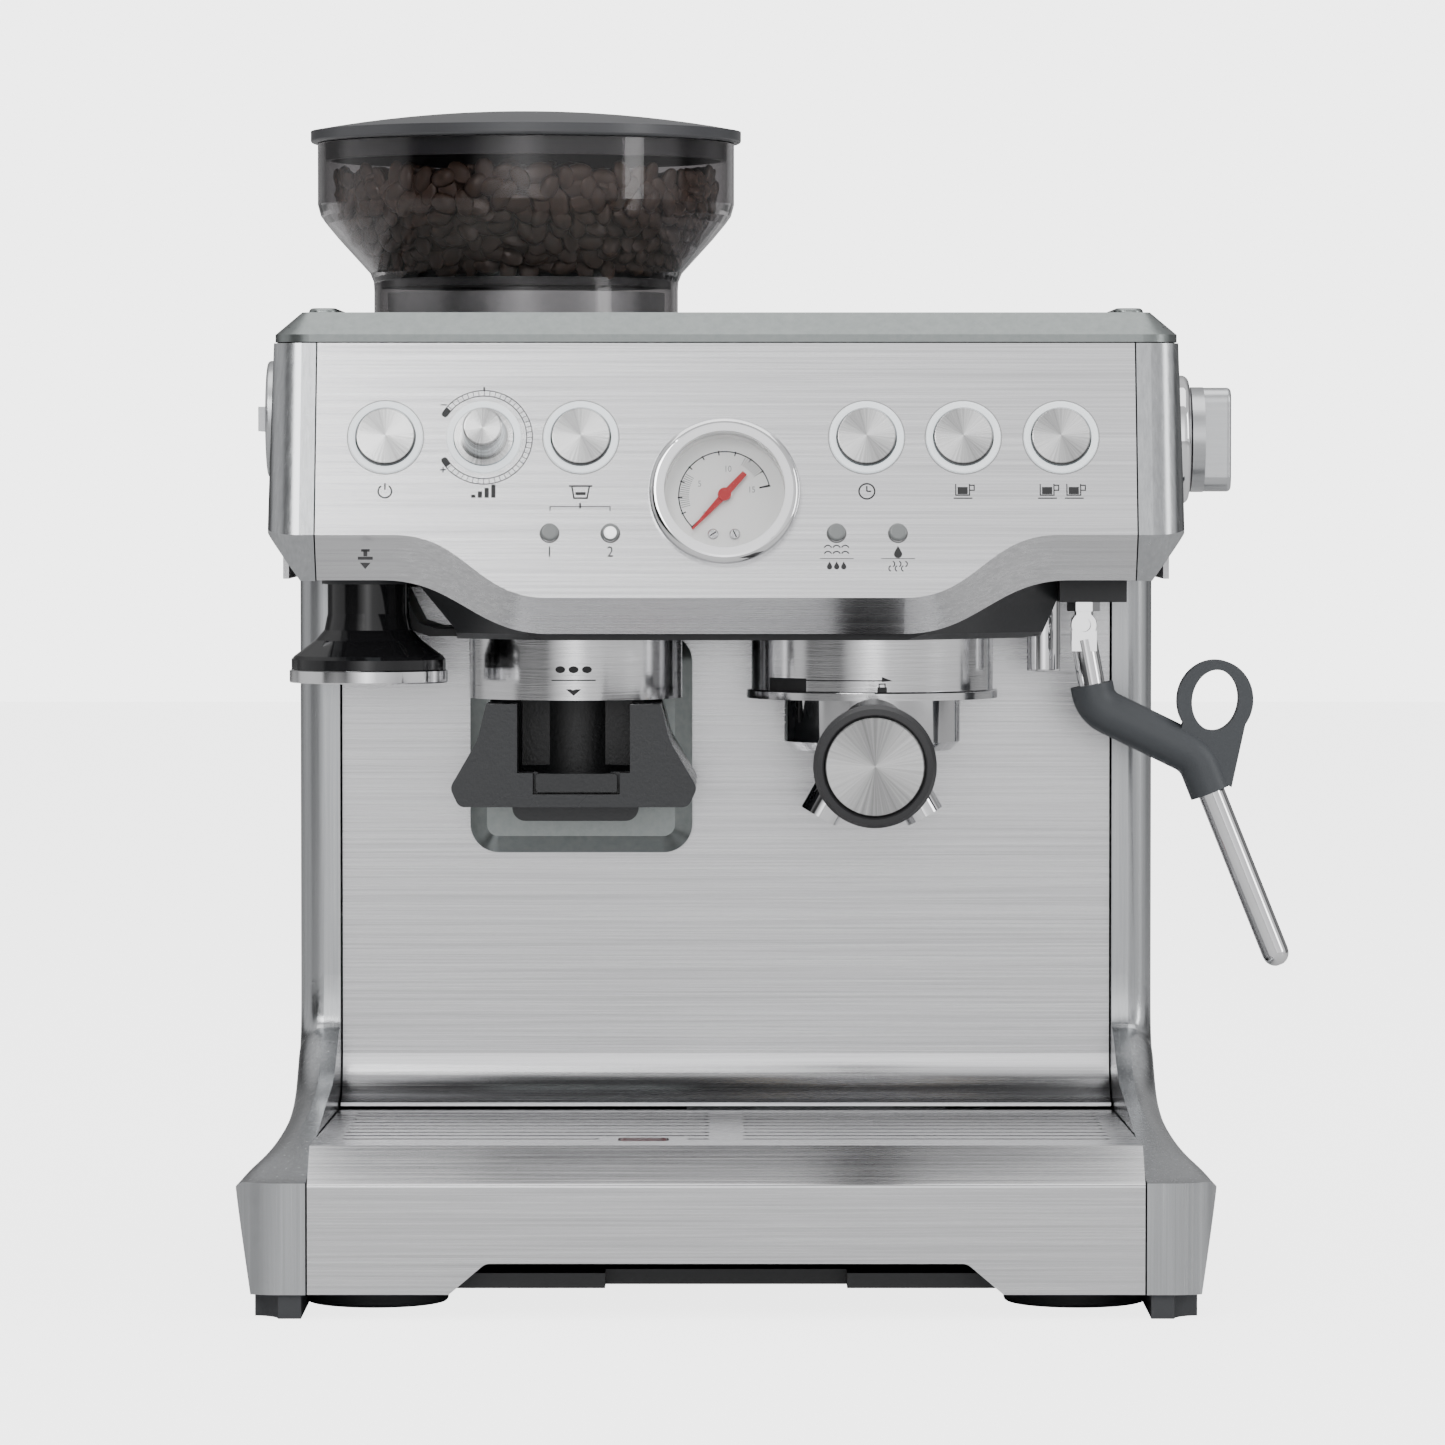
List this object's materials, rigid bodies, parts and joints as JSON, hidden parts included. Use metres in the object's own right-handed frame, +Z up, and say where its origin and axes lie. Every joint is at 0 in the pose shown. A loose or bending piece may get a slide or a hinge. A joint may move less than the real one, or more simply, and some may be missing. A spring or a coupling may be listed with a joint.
{
  "type": "espresso machine",
  "caption": "Countertop espresso machine with built-in conical grinder, bean hopper, lock-in portafilter, pressure gauge, steam wand and drip tray.",
  "frame": {"origin": "on the bench under the middle of the body, in the plane of the rubber feet", "axes": "+X to the user's right, +Y to the back of the machine, +Z up"},
  "size_m": [0.3522, 0.3789, 0.4034],
  "materials": {
    "steel_brushed": "horizontally brushed stainless steel sheet",
    "steel_polished": "polished stainless steel and chrome plate",
    "diecast_silver": "satin brushed die casting",
    "satin_silver": "satin silver top",
    "black_plastic": "matt black moulding",
    "gloss_black": "glossy black moulding",
    "dark_rubber": "dark grey soft rubber",
    "smoky_clear": "smoky clear plastic",
    "lens_clear": "clear lens",
    "tank_clear": "clear grey plastic tank",
    "coffee": "roasted coffee beans",
    "light_ring": "backlit translucent ring",
    "led_lens": "small indicator lens",
    "dial_white": "white dial",
    "needle_red": "red pointer",
    "lid_grey": "dark grey satin lid",
    "board_green": "circuit board",
    "motor_steel": "plain steel parts inside",
    "brass_parts": "brass brew head and valve"
  },
  "bodies": {
    "machine": {"chassis": "black_plastic", "feet": "dark_rubber", "rear_fittings": "black_plastic", "side_castings": "diecast_silver", "splash_panel": "steel_brushed", "front_panel": "steel_brushed", "head_corners": "diecast_silver", "head_sides": "steel_brushed", "head_floor": "black_plastic", "top_cover": "satin_silver", "cup_plate": "steel_brushed", "light_rings": "light_ring", "led_lenses": "led_lens", "circuit_boards": "board_green", "gauge_bezel": "steel_polished", "gauge_dial": "dial_white", "gauge_lens": "lens_clear", "steam_bezel": "steel_polished", "grinder_housing": "diecast_silver", "grinder_motor": "motor_steel", "grinder_collar": "steel_polished", "outlet_bezel": "satin_silver", "grind_cradle": "black_plastic", "group_collar": "steel_polished", "group_head": "brass_parts", "spout_and_nut": "steel_polished", "boiler_and_pump": "motor_steel"},
    "drip_tray": {"tray_front": "steel_brushed", "tray_bin": "black_plastic"},
    "grid": {"drip_grid": "steel_brushed"},
    "float": {"tray_float": "needle_red"},
    "grind_knob": {"grind_amount_knob": "steel_polished"},
    "needle": {"gauge_needle": "needle_red"},
    "steam_dial": {"steam_knob": "diecast_silver"},
    "grind_dial": {"grind_size_dial": "diecast_silver"},
    "hopper": {"hopper_bowl": "smoky_clear", "hopper_shutter": "black_plastic", "coffee_beans": "coffee"},
    "lid": {"hopper_lid": "lid_grey"},
    "burr": {"lower_burr": "motor_steel", "drive_gear": "motor_steel"},
    "rotor": {"motor_pinion": "motor_steel"},
    "switch": {"grind_switch": "gloss_black"},
    "portafilter": {"portafilter_body": "steel_polished", "portafilter_spouts": "steel_polished", "filter_basket": "steel_polished", "portafilter_grip": "black_plastic", "grip_cap": "steel_brushed"},
    "tamper": {"tamper_body": "gloss_black", "tamper_foot": "steel_polished"},
    "swivel": {"wand_ball": "steel_polished"},
    "steam_wand": {"wand_tube": "steel_polished", "wand_grip": "dark_rubber"},
    "tank": {"water_tank": "tank_clear"},
    "tank_cover": {"tank_lid": "satin_silver"},
    "power_button_cap": {"power_button": "steel_brushed"},
    "filter_button_cap": {"filter_button": "steel_brushed"},
    "program_button_cap": {"program_button": "steel_brushed"},
    "one_cup_button_cap": {"one_cup_button": "steel_brushed"},
    "two_cup_button_cap": {"two_cup_button": "steel_brushed"}
  },
  "joints": [
    {"name": "tray_slide", "type": "slide", "parent": "machine", "child": "drip_tray", "axis": [0, -1, 0], "range_m": [0, 0.15]},
    {"name": "grid_lift", "type": "slide", "parent": "drip_tray", "child": "grid", "axis": [0, 0, 1], "range_m": [0, 0.1]},
    {"name": "float_rise", "type": "slide", "parent": "drip_tray", "child": "float", "axis": [0, 0, 1], "range_m": [0, 0.006]},
    {"name": "power_press", "type": "slide", "parent": "machine", "child": "power_button_cap", "axis": [0, 0.9613, -0.2756], "range_m": [0, 0.002], "stiffness_N_per_m": 400, "springref_m": -0.003},
    {"name": "filter_press", "type": "slide", "parent": "machine", "child": "filter_button_cap", "axis": [0, 0.9613, -0.2756], "range_m": [0, 0.002], "stiffness_N_per_m": 400, "springref_m": -0.003},
    {"name": "program_press", "type": "slide", "parent": "machine", "child": "program_button_cap", "axis": [0, 0.9613, -0.2756], "range_m": [0, 0.002], "stiffness_N_per_m": 400, "springref_m": -0.003},
    {"name": "one_cup_press", "type": "slide", "parent": "machine", "child": "one_cup_button_cap", "axis": [0, 0.9613, -0.2756], "range_m": [0, 0.002], "stiffness_N_per_m": 400, "springref_m": -0.003},
    {"name": "two_cup_press", "type": "slide", "parent": "machine", "child": "two_cup_button_cap", "axis": [0, 0.9613, -0.2756], "range_m": [0, 0.002], "stiffness_N_per_m": 400, "springref_m": -0.003},
    {"name": "grind_amount_turn", "type": "hinge", "parent": "machine", "child": "grind_knob", "pos_m": [-0.0804, -0.12189, 0.2892], "axis": [0, 0.9613, -0.2756], "range_deg": [-135, 135]},
    {"name": "needle_turn", "type": "hinge", "parent": "machine", "child": "needle", "pos_m": [-0.0005, -0.12714, 0.2709], "axis": [0, 0.9613, -0.2756], "range_deg": [0, 210], "stiffness_Nm_per_rad": 0.0006, "springref_deg": -14.32},
    {"name": "steam_turn", "type": "hinge", "parent": "machine", "child": "steam_dial", "pos_m": [0.16, -0.04, 0.2887], "axis": [1, 0, 0], "range_deg": [-50, 60]},
    {"name": "grind_size_turn", "type": "hinge", "parent": "machine", "child": "grind_dial", "pos_m": [-0.155, -0.04, 0.2957], "axis": [-1, 0, 0], "range_deg": [-120, 120]},
    {"name": "hopper_lift", "type": "slide", "parent": "machine", "child": "hopper", "axis": [0, 0, 1], "range_m": [0, 0.12]},
    {"name": "lid_lift", "type": "slide", "parent": "hopper", "child": "lid", "axis": [0, 0, 1], "range_m": [0, 0.08]},
    {"name": "burr_spin", "type": "hinge", "parent": "machine", "child": "burr", "pos_m": [-0.07, 0.015, 0.254], "axis": [0, 0, 1], "continuous": true},
    {"name": "motor_spin", "type": "hinge", "parent": "machine", "child": "rotor", "pos_m": [-0.07, 0.05348, 0.254], "axis": [0, 0, 1], "continuous": true},
    {"name": "switch_press", "type": "slide", "parent": "machine", "child": "switch", "axis": [0, 1, 0], "range_m": [0, 0.003], "stiffness_N_per_m": 500, "springref_m": -0.002},
    {"name": "portafilter_turn", "type": "hinge", "parent": "machine", "child": "portafilter", "pos_m": [0.0498, -0.055, 0.205], "axis": [0, 0, -1], "range_deg": [0, 45]},
    {"name": "tamper_pull", "type": "slide", "parent": "machine", "child": "tamper", "axis": [0, 0, -1], "range_m": [0, 0.06]},
    {"name": "wand_swing", "type": "hinge", "parent": "machine", "child": "swivel", "pos_m": [0.121, -0.075, 0.226], "axis": [0, 0, 1], "range_deg": [-100, 20]},
    {"name": "wand_tilt", "type": "hinge", "parent": "swivel", "child": "steam_wand", "pos_m": [0.121, -0.075, 0.226], "axis": [0, 1, 0], "range_deg": [-8, 15]},
    {"name": "tank_lift", "type": "slide", "parent": "machine", "child": "tank", "axis": [0, 0, 1], "range_m": [0, 0.33]},
    {"name": "tank_cover_turn", "type": "hinge", "parent": "tank", "child": "tank_cover", "pos_m": [0, 0.153, 0.321], "axis": [-1, 0, 0], "range_deg": [0, 95]}
  ],
  "couplings": [
    {"joint": "motor_spin", "follows": "burr_spin", "ratio": -3.75}
  ]
}
